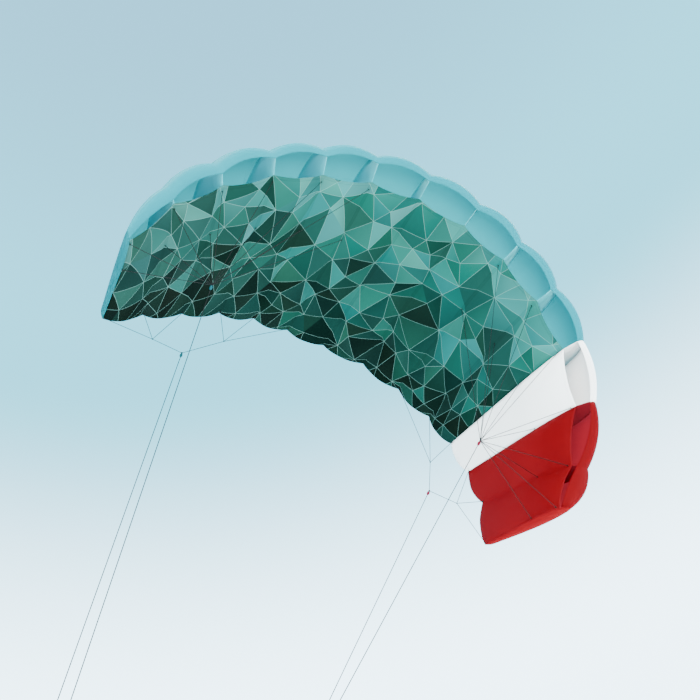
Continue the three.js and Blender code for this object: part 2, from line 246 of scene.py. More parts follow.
# Colours, and the share and colour of the light that the cloth lets through
CLOTH_COLOURS = {
    "teal": hex_colour("#006C76"),
    "white": hex_colour("#FCFBFA"),
    "red": hex_colour("#80060F"),
}
CLOTH_GLOW = {
    "teal": hex_colour("#62C4C8"),
    "white": hex_colour("#DADADA"),
    "red": hex_colour("#A85460"),
}
CLOTH_GLOW_SHARE = {"teal": 0.55, "white": 0.3, "red": 0.55}
CLOTH_FRONT_GLOW_SHARE = {"teal": 0.28, "white": 0.22, "red": 0.65}
CLOTH_FRONT = (0.05, 0.2)
# The teal cloth is painted lighter near its front edge: a painted highlight on the nose rim.
FRONT_HIGHLIGHT_TONES = {"teal": 1.15}
FRONT_HIGHLIGHT_FADE = (0.035, 0.055)
# The teal ribs are painted lighter than the teal cloth, and every rib's let-through colour is lighter than
# the cloth's: painted light that lightens the shaded rib faces inside the cells.
RIB_COLOURS = {
    "teal": hex_colour("#23949C"),
    "white": CLOTH_COLOURS["white"],
    "red": CLOTH_COLOURS["red"],
}
RIB_GLOW = {
    "teal": hex_colour("#A4E6EA"),
    "white": hex_colour("#E8E8E8"),
    "red": hex_colour("#B05A66"),
}
RIB_GLOW_SHARE = 0.9
RIB_FRONT_GLOW_SHARE = {"teal": 0.55, "white": 0.3, "red": 0.8}
RIB_FRONT = (0.008, 0.085)
LINE_GREY = hex_colour("#0B1010")
TAIL_COLOURS = {"left": hex_colour("#033F46"), "right": hex_colour("#5E0220")}

# Ripstop: its grid, seams and hems in metres, and how strongly they shade and raise the cloth
RIPSTOP_PITCH = 0.0055
THREAD_FADE = (0.02, 0.1)
WEAVE_WAVES = 2600.0
SEAM_FADE = (0.006, 0.0072)
SEAM_STITCH = 0.0045
SEAM_LINE_FADE = (0.0003, 0.001)
HEM_WIDTH = 0.011
HEM_FADE = (HEM_WIDTH, 0.0125)
HEM_LINE_FADE = (0.0004, 0.0012)
STITCH_PITCH = 0.0045
STITCH_FADE = (0.3, 0.36)
CLOUD_SCALE = 7.0
CLOUD_DETAIL = 3.0
CLOUD_START = 0.45
CLOUD_SHADE = 0.45
STITCH_SHADE = 0.3
THREAD_SHADE = 0.08
SHADE_TONE = 0.8
HEM_SHARE = 0.5
HEM_TONE = 0.94
# The ribs' hems are painted lighter: a painted highlight along the rib edges and front.
RIB_HEM_HIGHLIGHT_TONE = 1.5
HEM_LIMIT = 0.95
THREAD_RELIEF = 0.5
WEAVE_RELIEF = 0.12
HEM_RELIEF = 1.2
STITCH_RELIEF = 1.4
CLOTH_BUMP = (0.35, 0.0006)
CLOTH_SPECULAR = 0.06
CLOTH_ROUGHNESS = 0.45
CLOUD_ROUGHNESS = 0.2

# Braid: strands, grooves with painted shade, and flecks
LINE_STRANDS = 900.0
TAIL_STRANDS = 420.0
STRAND_SLANT = (0.9, 0.4)
GROOVE_FADE = (0.02, 0.16)
GROOVE_SHADE = 0.55
GROOVE_SHADOW_TONE = 0.45
FLECK_SCALE = 160.0
FLECK_DETAIL = 2.0
FLECK_SHADE = 0.4
BRAID_BUMP = (0.4, 0.0003)
BRAID_SPECULAR = 0.08
BRAID_ROUGHNESS = 0.55
GROOVE_ROUGHNESS = 0.15

# Print: where its points fall, the tones between them and the pale lines
PRINT_SEED = 41
PRINT_TRIES = 2600
PRINT_SPACING = 0.105
PRINT_SPACINGS = (0.5, 0.9, 1.0, 1.1, 1.25)
PRINT_SPAN_MARGIN = 0.7
PRINT_ALONG = (-0.12, 1.16)
PRINT_COLUMNS = 10
PRINT_ROWS = 24
PRINT_MERGE = 1e-7
PRINT_CUT_MERGE = 1e-6
PRINT_TONES = [hex_colour(tone) for tone in (
    "#05110D", "#071B16", "#0A2721", "#0D352D", "#10443D", "#17524C", "#225E59", "#306A66")]
PRINT_GLOW = PRINT_TONES[6]
PRINT_GLOW_SHARE = 0.04
PRINT_LEVEL = 0.6
PRINT_LEVEL_SPREADS = (3.4, 2.0)
PRINT_TOP_LEVEL = 6.3
PRINT_REAR_FALL = 5.0
PRINT_REAR_MIDDLE = 0.41
PRINT_TIP_FALL = 0.7
PRINT_TIP_CELLS = 4
PRINT_RED_SPREAD = (0.75, 1.6)
PRINT_BLUE_SPREAD = (0.94, 1.14)
PRINT_GREY_SHARE = 0.3
PRINT_GREY_CELLS = 4.5
PRINT_GREY_TINT = (0.85, 1.02, 1.06)
PRINT_SLOPE = 0.22
PRINT_LINE_COLOUR = hex_colour("#6C9B94")
PRINT_LINE_FADE = (0.00022, 0.00077)
PRINT_LINE_STRENGTH = 0.45
PRINT_DRAWN_SHARE = 0.97
PRINT_HIDDEN_BY = 0.01
PRINT_HEM_SHADE = 0.1
PRINT_STITCH_SHADE = 0.15
PRINT_CLOUD_SHADE = 0.14


# Camera
def add_camera():
    data = bpy.data.cameras.new("camera")
    data.lens = CAMERA_LENS
    data.sensor_width = SENSOR
    camera = bpy.data.objects.new("camera", data)
    bpy.context.scene.collection.objects.link(camera)
    axes = Matrix((CAMERA_RIGHT, -CAMERA_DOWN, -CAMERA_FORWARD)).transposed()
    camera.matrix_world = Matrix.Translation(CAMERA_PLACE) @ axes.to_4x4()
    bpy.context.scene.camera = camera


add_camera()


# Rib frames, walked along the arc cell by cell and centred on the middle cell
def rib_frames():
    tilts = np.radians(TILT)
    feet = np.zeros((LAST_RIB + 1, 2))
    feet[1:] = np.cumsum(CELL_WIDTH * np.stack([np.cos(tilts), -np.sin(tilts)], 1), 0)
    middle = LAST_RIB // 2
    feet -= (feet[middle] + feet[middle + 1]) / 2
    lean = np.empty(LAST_RIB + 1)
    lean[1:-1] = (tilts[:-1] + tilts[1:]) / 2
    lean[0] = 1.5 * tilts[0] - 0.5 * tilts[1]
    lean[-1] = 1.5 * tilts[-1] - 0.5 * tilts[-2]
    out = np.stack([np.sin(lean), 0 * lean, np.cos(lean)], 1)
    back = np.array([0.0, 1.0, 0.0])
    nod = np.radians(PITCH)[:, None]
    along = back * np.cos(nod) - out * np.sin(nod)
    up = out * np.cos(nod) + back * np.sin(nod)
    turn = np.radians(TURN)[:, None]
    along = along * np.cos(turn) - np.cross(along, up) * np.sin(turn)
    pivot = np.stack([feet[:, 0], SETBACK + PITCH_PIVOT * CHORD - CROWN_Y, feet[:, 1] - CROWN_Z], 1)
    cell_out = np.stack([np.sin(tilts), 0 * tilts, np.cos(tilts)], 1)
    return pivot, along, up, cell_out


PIVOT, ALONG, UP, CELL_OUT = rib_frames()
ACROSS = np.cross(ALONG, UP)


def section_rows(upper):
    """The rows of the upper or the lower section."""
    return UPPER_ROWS if upper else LOWER_ROWS


def section_columns(rows, at):
    """A section's columns on a smooth curve through its rows, at places counted in rows."""
    at = np.clip(np.asarray(at, float), 0, len(rows) - 1)
    start = np.minimum(np.floor(at).astype(int), len(rows) - 2)
    share = (at - start)[..., None]
    padded = np.vstack([2 * rows[0] - rows[1], rows, 2 * rows[-1] - rows[-2]])
    a, b, c, d = (padded[start + k] for k in range(4))
    bend = (2 * a - 5 * b + 4 * c - d) * share**2 + (3 * b - a - 3 * c + d) * share**3
    return 0.5 * (2 * b + (c - a) * share + bend)


def row_of(rows, along, start=0):
    """The place in rows of some shares of the chord, behind a starting row."""
    fine = np.linspace(start, len(rows) - 1, ROW_STEPS)
    return np.interp(along, section_columns(rows, fine)[:, 0], fine)


def rib_edge(index, columns, upper):
    """Distances along and up a rib of its edge at some rows."""
    chord = CHORD[index]
    along, up, wrap, edge = (columns[..., k] for k in range(4))
    if not upper:
        return along * chord, up * chord - SEAM_LIFT
    nose = CLOSED[index] * wrap
    along = along + (NOSE_ALONG - along) * nose
    up = up * HEIGHT[index] * (1 - nose)
    return along * chord, up * chord + SEAM_LIFT + EDGE[index] * edge * (1 - nose)


def on_rib(index, along, up):
    """Points of the part at distances along and up a rib."""
    reach = np.asarray(along - PITCH_PIVOT * CHORD[index])[..., None]
    return PIVOT[index] + ALONG[index] * reach + UP[index] * np.asarray(up)[..., None]


def cloth_points(upper, span, at):
    """Points of a skin's middle surface, at places across the span in cells and along a section in rows."""
    span = np.clip(span, 0, LAST_RIB)
    cell = np.minimum(np.floor(span).astype(int), LAST_RIB - 1)
    share = span - cell
    columns = section_columns(section_rows(upper), at)
    near = on_rib(cell, *rib_edge(cell, columns, upper))
    far = on_rib(cell + 1, *rib_edge(cell + 1, columns, upper))
    points = near + (far - near) * share[..., None]
    billow = 4 * share * (1 - share) * CELL_WIDTH
    if upper:
        nose = BILLOW[cell] + (1 - BILLOW[cell]) * np.maximum(columns[..., 0], 0)
        billow = billow * nose * (1 + (LIP[cell] - 1) * columns[..., 2])
    points[..., 1] += billow * columns[..., 4]
    return points + CELL_OUT[cell] * (billow * columns[..., 5])[..., None]


def cloth_normals(upper, span, at):
    """Outward normals of a skin: away from the cell."""
    reach = 0.02
    last = len(section_rows(upper)) - 1
    across = cloth_points(upper, span + reach, at) - cloth_points(upper, span - reach, at)
    along = cloth_points(upper, span, np.minimum(at + reach, last))
    along = along - cloth_points(upper, span, np.maximum(at - reach, 0))
    normal = np.cross(across, along)
    normal /= np.linalg.norm(normal, axis=-1, keepdims=True)
    return normal if upper else -normal


def ramp(value, low, high):
    """Nothing up to low, rising evenly to one at high."""
    return np.clip((value - low) / (high - low), 0, 1)


def cell_wave(span, waves, phase):
    """Waves across each cell that die out at its seams, shifted from cell to cell."""
    cell = np.floor(span)
    share = span - cell
    return np.sin(share * math.pi * waves + cell * phase) * np.sin(np.pi * share)


def pucker(upper, span, at):
    """Small puckers beside the seams and at the lip, as heights in metres."""
    along = section_columns(section_rows(upper), at)[..., 0]
    rib = np.round(span)
    from_rib = np.abs(span - rib) * CELL_WIDTH
    phase = rib * SEAM_PUCKER_PHASE + (UPPER_SKIN_PHASE if upper else 0)
    ripple = np.sin(along * SEAM_PUCKER_WAVES + phase + np.sin(along * SEAM_PUCKER_DRIFT + phase))
    beside = np.exp(-(((from_rib - SEAM_PUCKER_PLACE) / SEAM_PUCKER_SPREAD) ** 2))
    height = SEAM_PUCKER * beside * ripple * (1 - ramp(along, *SEAM_PUCKER_END))
    if not upper:
        lip = cell_wave(span, LIP_PUCKER_WAVES, LIP_PUCKER_PHASE)
        height = height + LIP_PUCKER * lip * (1 - ramp(along, *LIP_PUCKER_END))
    return height * ramp(from_rib, *SEAM_CALM)


def tail_shift(upper, span, at):
    """The ripple that both skins share toward the trailing edge, and their closing there."""
    along = section_columns(section_rows(upper), at)[..., 0]
    top = cloth_points(True, span, np.full(span.shape, len(UPPER_ROWS) - 1))
    rise = top - cloth_points(False, span, np.full(span.shape, len(LOWER_ROWS) - 1))
    rise /= np.linalg.norm(rise, axis=-1, keepdims=True)
    ripple = TAIL_RIPPLE * cell_wave(span, TAIL_RIPPLE_WAVES, TAIL_RIPPLE_PHASE)
    ripple = ripple * ramp(along, *TAIL_RIPPLE_START)
    closing = TAIL_CLOSING * ramp(along, *TAIL_CLOSING_START)
    height = ripple - closing if upper else ripple + closing
    return rise * height[..., None]


def visual_points(upper, span, at):
    """Points of a skin with its puckers and ripples."""
    ripples = cloth_normals(upper, span, at) * pucker(upper, span, at)[..., None]
    return cloth_points(upper, span, at) + ripples + tail_shift(upper, span, at)


# Piece making
def new_object(name, data):
    piece = bpy.data.objects.new(name, data)
    bpy.context.scene.collection.objects.link(piece)
    return piece


def place(piece, slot, material, *nodes):
    """Gives a piece its material and its body, and hides the nodes that it stands for; the slot is not used.
    """
    piece.data.materials.append(material)
    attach(piece, "root")
    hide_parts(*nodes)


def numbered(name, first, last):
    """Node names with two figures, counted from one."""
    return [f"{name}_{k + 1:02d}" for k in range(first, last + 1)]


# Shader values that take sums, products and the like
def add_node(tree, kind, settings=None, sockets=None):
    """A node with its settings first, then its sockets' values or links, by name or number."""
    node = tree.nodes.new(kind)
    for key, value in (settings or {}).items():
        setattr(node, key, value)
    for key, value in (sockets or {}).items():
        if isinstance(value, Value):
            tree.links.new(value.socket, node.inputs[key])
        else:
            node.inputs[key].default_value = value
    return node


class Value:
    """A shader socket that takes part in sums and products."""

    def __init__(self, tree, socket):
        self.tree = tree
        self.socket = socket

    def math(self, operation, first, second=0.0):
        node = add_node(self.tree, "ShaderNodeMath", {"operation": operation}, {0: first, 1: second})
        return Value(self.tree, node.outputs[0])

    def __add__(self, other):
        return self.math("ADD", self, other)

    __radd__ = __add__

    def __mul__(self, other):
        return self.math("MULTIPLY", self, other)

    __rmul__ = __mul__

    def __sub__(self, other):
        return self.math("SUBTRACT", self, other)

    def __rsub__(self, other):
        return self.math("SUBTRACT", other, self)

    def __abs__(self):
        return self.math("ABSOLUTE", self)

    def from_middle(self):
        """The distance from the middle of each whole step, up to a half."""
        return abs(self.math("FRACT", self) - 0.5)

    def sine(self):
        return self.math("SINE", self)

    def lowest(self, other):
        return self.math("MINIMUM", self, other)

    def highest(self, other):
        return self.math("MAXIMUM", self, other)

    def fade(self, full, none):
        """One below full, falling smoothly to nothing at none."""
        sockets = {0: self, 1: full, 2: none, 3: 1.0, 4: 0.0}
        node = add_node(self.tree, "ShaderNodeMapRange", {"interpolation_type": "SMOOTHSTEP"}, sockets)
        return Value(self.tree, node.outputs[0])

    def blend(self, first, second):
        """A colour between two, by this factor."""
        first, second = (end if isinstance(end, Value) else (*end, 1) for end in (first, second))
        sockets = {0: self, 6: first, 7: second}
        node = add_node(self.tree, "ShaderNodeMix", {"data_type": "RGBA"}, sockets)
        return Value(self.tree, node.outputs[2])


class Shading:
    """A node tree to build on, with the shader that it feeds."""

    def __init__(self, tree, shader):
        self.tree = tree
        self.shader = tree.nodes[shader]

    def value(self, kind, output, settings=None, sockets=None):
        return Value(self.tree, add_node(self.tree, kind, settings, sockets).outputs[output])

    def attribute(self, name, output):
        return self.value("ShaderNodeAttribute", output, {"attribute_name": name})

    def coordinates(self, output):
        return self.value("ShaderNodeTexCoord", output)

    def parts(self, vector):
        node = add_node(self.tree, "ShaderNodeSeparateXYZ", None, {0: vector})
        return [Value(self.tree, node.outputs[k]) for k in range(3)]

    def noise(self, scale, detail):
        sockets = {"Vector": self.coordinates("Object"), "Scale": scale, "Detail": detail}
        return self.value("ShaderNodeTexNoise", 0, None, sockets)

    def feed(self, **values):
        for key, value in values.items():
            self.tree.links.new(value.socket, self.shader.inputs[key.replace("_", " ")])


class Look(Shading):
    """A material."""

    def __init__(self, name, **constants):
        self.data = bpy.data.materials.new(name)
        self.data.use_nodes = True
        super().__init__(self.data.node_tree, "Principled BSDF")
        for key, value in constants.items():
            self.shader.inputs[key.replace("_", " ")].default_value = value

    def bump(self, height, strength, distance):
        sockets = {"Strength": strength, "Distance": distance, "Height": height}
        self.feed(Normal=self.value("ShaderNodeBump", 0, None, sockets))

    def let_through(self, share, colour):
        """Lets some light through a thin sheet, in one colour."""
        glow = self.value("ShaderNodeBsdfTranslucent", 0, None, {"Color": (*colour, 1)})
        sockets = {0: share, 1: Value(self.tree, self.shader.outputs[0]), 2: glow}
        mixed = self.value("ShaderNodeMixShader", 0, None, sockets)
        self.tree.links.new(mixed.socket, self.tree.nodes["Material Output"].inputs["Surface"])


# Materials
def toned(colour, tone):
    """A colour made lighter or darker."""
    return tuple(channel * tone for channel in colour)


def ripstop(name, colour, glow, glow_share, front_share=None, front=None, hem_tone=HEM_TONE, front_highlight_tone=None):
    """Thin coated ripstop with its grid, sewn seams and hems, printed where it has no colour of its own. A
    hem tone above one paints a highlight on the hems, and a front highlight tone paints a highlight along
    the front edge.
    """
    printed = colour is None
    look = Look(name, Specular_IOR_Level=0.0 if printed else CLOTH_SPECULAR)
    u, v, _ = look.parts(look.coordinates("UV"))
    to_rib, to_front, to_tail = look.parts(look.attribute("seams", "Vector"))
    to_hem = to_front.lowest(to_tail)
    thread_u, thread_v = ((way * (1 / RIPSTOP_PITCH)).from_middle() for way in (u, v))
    thread = (0.5 - thread_u.highest(thread_v)).fade(*THREAD_FADE)
    weave = (u * WEAVE_WAVES).sine() * (v * WEAVE_WAVES).sine()
    seam_line = abs(to_rib - SEAM_STITCH).fade(*SEAM_LINE_FADE)
    hem_line = abs(to_hem - HEM_WIDTH).fade(*HEM_LINE_FADE)
    stitch_u, stitch_v = ((way * (1 / STITCH_PITCH)).from_middle().fade(*STITCH_FADE) for way in (u, v))
    sewn = (seam_line * stitch_v).highest(hem_line * stitch_u)
    doubled = to_rib.fade(*SEAM_FADE).highest(to_hem.fade(*HEM_FADE))
    cloud = look.noise(CLOUD_SCALE, CLOUD_DETAIL)
    if printed:
        a, b, c = look.parts(look.attribute("lines", "Vector"))
        line = a.lowest(b).lowest(c).fade(*PRINT_LINE_FADE)
        base = (line * PRINT_LINE_STRENGTH).blend(look.attribute("print", "Color"), PRINT_LINE_COLOUR)
        shade = doubled * PRINT_HEM_SHADE + sewn * PRINT_STITCH_SHADE + (cloud - 0.5) * PRINT_CLOUD_SHADE
        base = shade.highest(0.0).blend(base, PRINT_TONES[0])
    else:
        # A hem tone below one darkens the doubled cloth at the hems; a hem tone above one, as on the ribs,
        # is a painted highlight.
        hem = tuple(min(channel, HEM_LIMIT) for channel in toned(colour, hem_tone))
        shade = sewn * STITCH_SHADE + (cloud - CLOUD_START) * CLOUD_SHADE + thread * THREAD_SHADE
        base = (doubled * HEM_SHARE).blend(colour, hem)
        base = shade.highest(0.0).lowest(1.0).blend(base, toned(colour, SHADE_TONE))
    # Lighter near the front edge: a painted highlight on the nose rim.
    if front_highlight_tone:
        base = to_front.fade(*FRONT_HIGHLIGHT_FADE).blend(base, toned(colour, front_highlight_tone))
    look.feed(Base_Color=base, Roughness=cloud * CLOUD_ROUGHNESS + CLOTH_ROUGHNESS)
    relief = thread * THREAD_RELIEF + weave * WEAVE_RELIEF + doubled * HEM_RELIEF - sewn * STITCH_RELIEF
    look.bump(relief, *CLOTH_BUMP)
    if front:
        glow_share = glow_share - to_front.fade(*front) * (glow_share - front_share)
    look.let_through(glow_share, glow)
    return look.data


def braid(name, colour, strands):
    """Braided line: two crossing sets of strands."""
    look = Look(name, Specular_IOR_Level=BRAID_SPECULAR)
    x, y, z = look.parts(look.coordinates("Object"))
    slant = x * (strands * STRAND_SLANT[0]) + y * (strands * STRAND_SLANT[1])
    one = (z * strands + slant).from_middle()
    two = (z * strands - slant).from_middle()
    groove = (0.5 - one.highest(two)).fade(*GROOVE_FADE)
    fleck = (look.noise(FLECK_SCALE, FLECK_DETAIL) - 0.5) * FLECK_SHADE
    # The grooves between the strands are painted darker: painted shade in the recesses. The flecks are
    # random tone.
    base = (groove * GROOVE_SHADE + fleck).highest(0.0).blend(colour, toned(colour, GROOVE_SHADOW_TONE))
    look.feed(Base_Color=base, Roughness=groove * GROOVE_ROUGHNESS + BRAID_ROUGHNESS)
    look.bump(1.0 - groove, *BRAID_BUMP)
    return look.data


CLOTH_LOOKS, RIB_LOOKS = {}, {}
for field_name, field_colour in CLOTH_COLOURS.items():
    CLOTH_LOOKS[field_name] = ripstop(
        f"{field_name}_ripstop", field_colour, CLOTH_GLOW[field_name], CLOTH_GLOW_SHARE[field_name],
        CLOTH_FRONT_GLOW_SHARE[field_name], CLOTH_FRONT, front_highlight_tone=FRONT_HIGHLIGHT_TONES.get(field_name))
    # The rib looks are painted lighter than the cloth looks: painted light on the shaded rib faces.
    RIB_LOOKS[field_name] = ripstop(
        f"{field_name}_rib_ripstop", RIB_COLOURS[field_name], RIB_GLOW[field_name], RIB_GLOW_SHARE,
        RIB_FRONT_GLOW_SHARE[field_name], RIB_FRONT, hem_tone=RIB_HEM_HIGHLIGHT_TONE)
PRINT_LOOK = ripstop("printed_ripstop", None, PRINT_GLOW, PRINT_GLOW_SHARE)
LINE_LOOK = braid("grey_braid", LINE_GREY, LINE_STRANDS)
TAIL_LOOKS = {}
for side_name, tail_colour in TAIL_COLOURS.items():
    TAIL_LOOKS[side_name] = braid(f"{side_name}_tail_braid", tail_colour, TAIL_STRANDS)


# Lines and knots
def to_part(point):
    """A point of the rigging table in the part's own metres."""
    x, y, z = (distance / MILLIMETRES for distance in point)
    return Vector((x, y - CROWN_Y, z - CROWN_Z))


def tie_under(index, along):
    """Where a tie hangs under a rib, at a share of its chord."""
    reach, height = rib_edge(index, section_columns(LOWER_ROWS, row_of(LOWER_ROWS, along)), False)
    drop = CLOTH / 2 + TIE_RADIUS + 2 * GAP
    return Vector(on_rib(index, reach, height - drop))


def round_curve(name, strands):
    """A curve of round strands, each with its points, its radius or radii, and whether it is a ring."""
    data = bpy.data.curves.new(name, "CURVE")
    data.dimensions = "3D"
    data.bevel_depth = 1.0
    data.bevel_resolution = 2
    data.use_fill_caps = True
    for points, radius, ring in strands:
        spline = data.splines.new("POLY")
        spline.points.add(len(points) - 1)
        radii = radius if isinstance(radius, list) else [radius] * len(points)
        for target, point, size in zip(spline.points, points, radii):
            target.co = (*point, 1)
            target.radius = size
        spline.use_cyclic_u = ring
    return new_object(name, data)


def strand_mesh(name, strands):
    """The same strands as one mesh."""
    holder = round_curve(name, strands)
    mesh = bpy.data.meshes.new_from_object(holder)
    bpy.data.objects.remove(holder)
    mesh.polygons.foreach_set("use_smooth", np.ones(len(mesh.polygons), bool))
    return new_object(name, mesh)


def add_cord(name, stops, radius, node, steps=LEG_STEPS):
    """A taut cord through its stops."""
    points = []
    for start, end in zip(stops[:-1], stops[1:]):
        points += [start.lerp(end, k / steps) for k in range(steps)]
    points.append(stops[-1])
    piece = round_curve(name, [(points, radius, False)])
    place(piece, "line_grey", LINE_LOOK, node)
    length = sum((b - a).length for a, b in zip(stops[:-1], stops[1:]))


def overhand(centre, direction, radius, thread):
    """A pulled-tight overhand knot: a trefoil about the line's direction."""
    turn = Vector((0, 0, 1)).rotation_difference(direction)
    points = []
    steps = 42
    for k in range(steps):
        t = 2 * math.pi * k / steps
        swell = 2 + math.cos(3 * t)
        local = Vector((swell * math.cos(2 * t), swell * math.sin(2 * t), KNOT_DEPTH * math.sin(3 * t)))
        points.append(centre + turn @ (local * (radius - thread) / 3))
    return points, thread, True


def tie_loop(tie, toward):
    """A small sewn loop that a bridle line is tied to, reaching up to the seam."""
    up = Vector(toward).normalized()
    side = up.orthogonal().normalized()
    lift = TIE_RADIUS + 2 * GAP + CLOTH / 2
    points = []
    steps = 20
    for k in range(steps):
        angle = 2 * math.pi * k / steps
        height = lift / 2 * (1 - math.cos(angle))
        points.append(tie + up * height + side * (TIE_LOOP_HALF_WIDTH * math.sin(angle)))
    return points, TIE_LOOP_THREAD, True


def knotted_tail(start, direction):
    """A short coloured cord, knotted along its length, that holds a flying line to its bridle."""
    rows = 26
    points, radii = [], []
    for k in range(rows):
        share = k / (rows - 1)
        points.append(start + direction * (TAIL_LENGTH * share))
        body = math.sin(math.pi * share) ** TAIL_ROUNDING if 0 < share < 1 else 0.0
        ridge = 1 + TAIL_RIDGE * math.sin(share * math.pi * TAIL_RIDGES)
        radii.append(TAIL_END_RADIUS + TAIL_SWELL * body * ridge)
    return points, radii, False


def end_loop(knot, direction):
    """The loop at a flying line's end, below its knot."""
    sideways = Vector((1, 0, 0))
    sideways = (sideways - direction * sideways.dot(direction)).normalized()
    points = []
    steps = 48
    for k in range(steps):
        angle = 2 * math.pi * k / steps
        down = LOOP_LENGTH / 2 * (1 - math.cos(angle))
        points.append(knot + direction * down + sideways * (LOOP_HALF_WIDTH * math.sin(angle)))
    return points, LINE_RADIUS, True


def add_power_bridle(side):
    """Legs from two rows of ties to one knot."""
    knot = to_part(RIGGING[side]["power"][0])
    node = f"power_bridle_{side}"
    knots = [overhand(knot, Vector((0, 0, -1)), KNOT_RADIUS, KNOT_THREAD)]
    for rib in RIGGING[side]["ribs"]:
        for row, along in zip("ab", POWER_TIES):
            tie = tie_under(rib, along)
            add_cord(f"power_leg_{side}_{rib + 1:02d}_{row}", [tie, knot], BRIDLE_RADIUS, node)
            knots.append(overhand(tie, (knot - tie).normalized(), TIE_RADIUS, TIE_THREAD))
            knots.append(tie_loop(tie, UP[rib]))
    place(strand_mesh(f"power_knots_{side}", knots), "line_grey", LINE_LOOK, node)


def add_brake_bridle(side):
    """Legs from the trailing edge, joined in forks, to one knot."""
    knot = to_part(RIGGING[side]["brake"][0])
    node = f"brake_bridle_{side}"
    knots = [overhand(knot, Vector((0, 0, -1)), KNOT_RADIUS, KNOT_THREAD)]
    for fork_at, ribs in RIGGING[side]["forks"]:
        fork = to_part(fork_at)
        knots.append(overhand(fork, (knot - fork).normalized(), TIE_RADIUS, TIE_THREAD))
        for rib in ribs:
            tie = tie_under(rib, BRAKE_TIE)
            stops = [tie, fork, knot] if rib == ribs[0] else [tie, fork]
            add_cord(f"brake_leg_{side}_{rib + 1:02d}", stops, BRIDLE_RADIUS, node)
            knots.append(overhand(tie, (fork - tie).normalized(), TIE_RADIUS, TIE_THREAD))
            knots.append(tie_loop(tie, UP[rib]))
    place(strand_mesh(f"brake_knots_{side}", knots), "line_grey", LINE_LOOK, node)


def add_flying_line(side, bank):
    """A coloured tail, the taut line below it and the loop at the line's end."""
    knot, end = (to_part(point) for point in RIGGING[side][bank])
    direction = (end - knot).normalized()
    tail_top = KNOT_RADIUS + GAP
    line_top = knot + direction * (tail_top + TAIL_LENGTH + GAP)
    line_end = end + direction * KNOT_RADIUS
    tail = strand_mesh(f"{bank}_tail_knot_{side}", [knotted_tail(knot + direction * tail_top, direction)])
    place(tail, "tail_blue" if side == "left" else "tail_red", TAIL_LOOKS[side], f"{bank}_tail_{side}")
    loop = strand_mesh(f"{bank}_end_loop_{side}", [
        end_loop(end, direction), overhand(end, direction, KNOT_RADIUS, KNOT_THREAD)])
    place(loop, "line_grey", LINE_LOOK, f"{bank}_loop_{side}")
    add_cord(f"{bank}_flying_line_{side}", [line_top, line_end], LINE_RADIUS, f"{bank}_line_{side}",
             LINE_STEPS)


for side_name in ("left", "right"):
    add_power_bridle(side_name)
    add_brake_bridle(side_name)
    for bank_name in ("power", "brake"):
        add_flying_line(side_name, bank_name)


# Cloth
def corner_points(mesh):
    """The vertex number of each face corner."""
    corners = np.empty(len(mesh.loops), np.int32)
    mesh.loops.foreach_get("vertex_index", corners)
    return corners


def flat_points(mesh):
    """The places of a mesh's vertices."""
    flat = np.empty(len(mesh.vertices) * 3)
    mesh.vertices.foreach_get("co", flat)
    return flat.reshape(-1, 3)


def add_layer(mesh, name, kind, domain, field, values):
    """Values kept on a mesh's points or corners for its material."""
    layer = mesh.attributes.new(name, kind, domain)
    layer.data.foreach_set(field, np.ascontiguousarray(values, np.float32).ravel())


def cloth_piece(name, mesh, points, seams, flat):
    """A thin sheet: a mesh moved to its points, with seam distances, a flat map and a thickness."""
    mesh.vertices.foreach_set("co", points.ravel())
    mesh.polygons.foreach_set("use_smooth", np.ones(len(mesh.polygons), bool))
    add_layer(mesh, "seams", "FLOAT_VECTOR", "POINT", "vector", seams)
    layer = mesh.uv_layers.new(name="cloth")
    layer.data.foreach_set("uv", np.ascontiguousarray(flat[corner_points(mesh)], np.float32).ravel())
    mesh.update()
    piece = new_object(name, mesh)
    thickness = piece.modifiers.new("thickness", "SOLIDIFY")
    thickness.thickness = SHEET
    thickness.offset = 0
    return piece


def unit_grid(name, columns, rows, turned):
    """A grid from 0 to 1 both ways, its faces turned over where asked."""
    work = bmesh.new()
    bmesh.ops.create_grid(work, x_segments=columns, y_segments=rows, size=0.5)
    bmesh.ops.translate(work, verts=work.verts, vec=(0.5, 0.5, 0))
    if turned:
        bmesh.ops.reverse_faces(work, faces=work.faces)
    mesh = bpy.data.meshes.new(name)
    work.to_mesh(mesh)
    work.free()
    return mesh


def seam_distances(upper, span, at):
    """Distances to the nearest rib seam, to the front edge and to the trailing edge."""
    rows = section_rows(upper)
    fine = np.linspace(0, len(rows) - 1, RUN_STEPS)
    columns = section_columns(rows, fine)
    run = np.concatenate([[0], np.cumsum(np.hypot(np.diff(columns[:, 0]), np.diff(columns[:, 1])))])
    chord = np.interp(span, np.arange(LAST_RIB + 1), CHORD)
    from_front = np.interp(at, fine, run)
    to_rib = np.abs(span - np.round(span)) * CELL_WIDTH
    return np.stack([to_rib, from_front * chord, (run[-1] - from_front) * chord], -1)


def skin_piece(name, mesh, upper, span, at):
    """A sheet of skin over a mesh whose vertices have places in span and rows."""
    seams = seam_distances(upper, span, at)
    flat = np.stack([span * CELL_WIDTH, seams[:, 1]], -1)
    return cloth_piece(name, mesh, visual_points(upper, span, at), seams, flat)


def trimmed(first, last):
    """The ends of a field of cells, drawn in by half a gap."""
    trim = GAP / 2 / CELL_WIDTH
    return first + trim, last - trim


def plain_skin(name, upper, first, last):
    """A skin of even columns and rows, from one rib to another."""
    rows = len(section_rows(upper)) - 1
    steps = rows * (UPPER_STEPS if upper else LOWER_STEPS)
    mesh = unit_grid(name, (last - first) * SKIN_COLUMNS, steps, not upper)
    low, high = trimmed(first, last)
    flat = flat_points(mesh)
    return skin_piece(name, mesh, upper, low + flat[:, 0] * (high - low), flat[:, 1] * rows)


